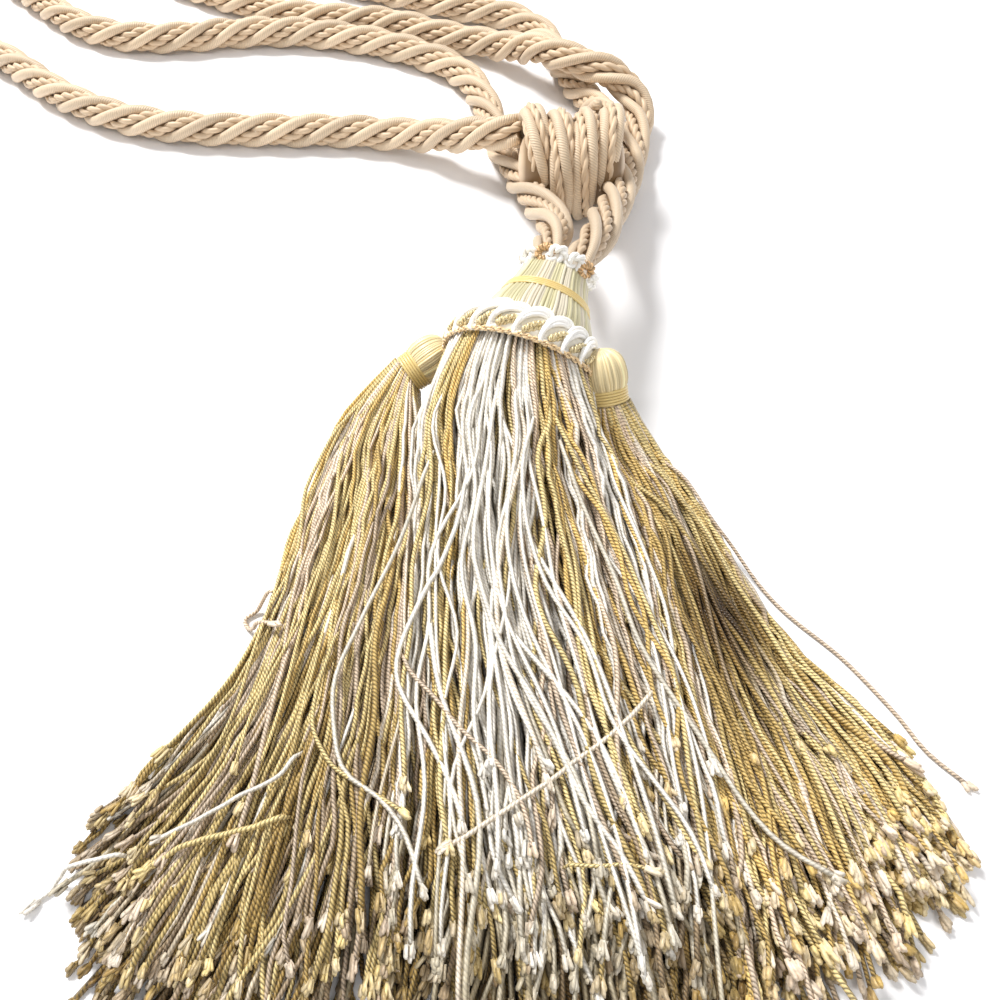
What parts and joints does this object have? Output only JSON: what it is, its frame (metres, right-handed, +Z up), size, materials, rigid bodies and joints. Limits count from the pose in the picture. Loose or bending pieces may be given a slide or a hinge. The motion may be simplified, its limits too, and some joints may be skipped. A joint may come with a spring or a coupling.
{
  "type": "curtain tieback tassel",
  "caption": "Curtain tieback: a twisted rope with two loops and a wound knot, above a large fringed tassel with a bound head, a looped ruff and small side tassels.",
  "frame": {"origin": "on the surface that the tassel lies on, below the middle of the tassel without its rope", "axes": "+Z up from the surface, +Y from the fringe's ends towards the rope, +X to the right"},
  "size_m": [0.3853, 0.493, 0.0459],
  "materials": {
    "rope": "twisted champagne gimp, satin",
    "gimp": "looped white and gold gimp",
    "head_threads": "ivory satin threads",
    "gold_wrap": "golden silk wrapping",
    "skirt_yarn": "twisted white, taupe and gold yarn",
    "small_yarn": "twisted gold and taupe yarn"
  },
  "bodies": {
    "root": {"rope_left": "rope", "rope_right": "rope", "knot": "rope", "top_collar": "gimp", "tassel_head": "head_threads", "head_band": "gold_wrap", "gimp_ring": "gimp", "skirt": "skirt_yarn", "small_tassel_left": "small_yarn", "small_tassel_right": "small_yarn", "small_band_left": "gold_wrap", "small_band_right": "gold_wrap"}
  },
  "joints": []
}
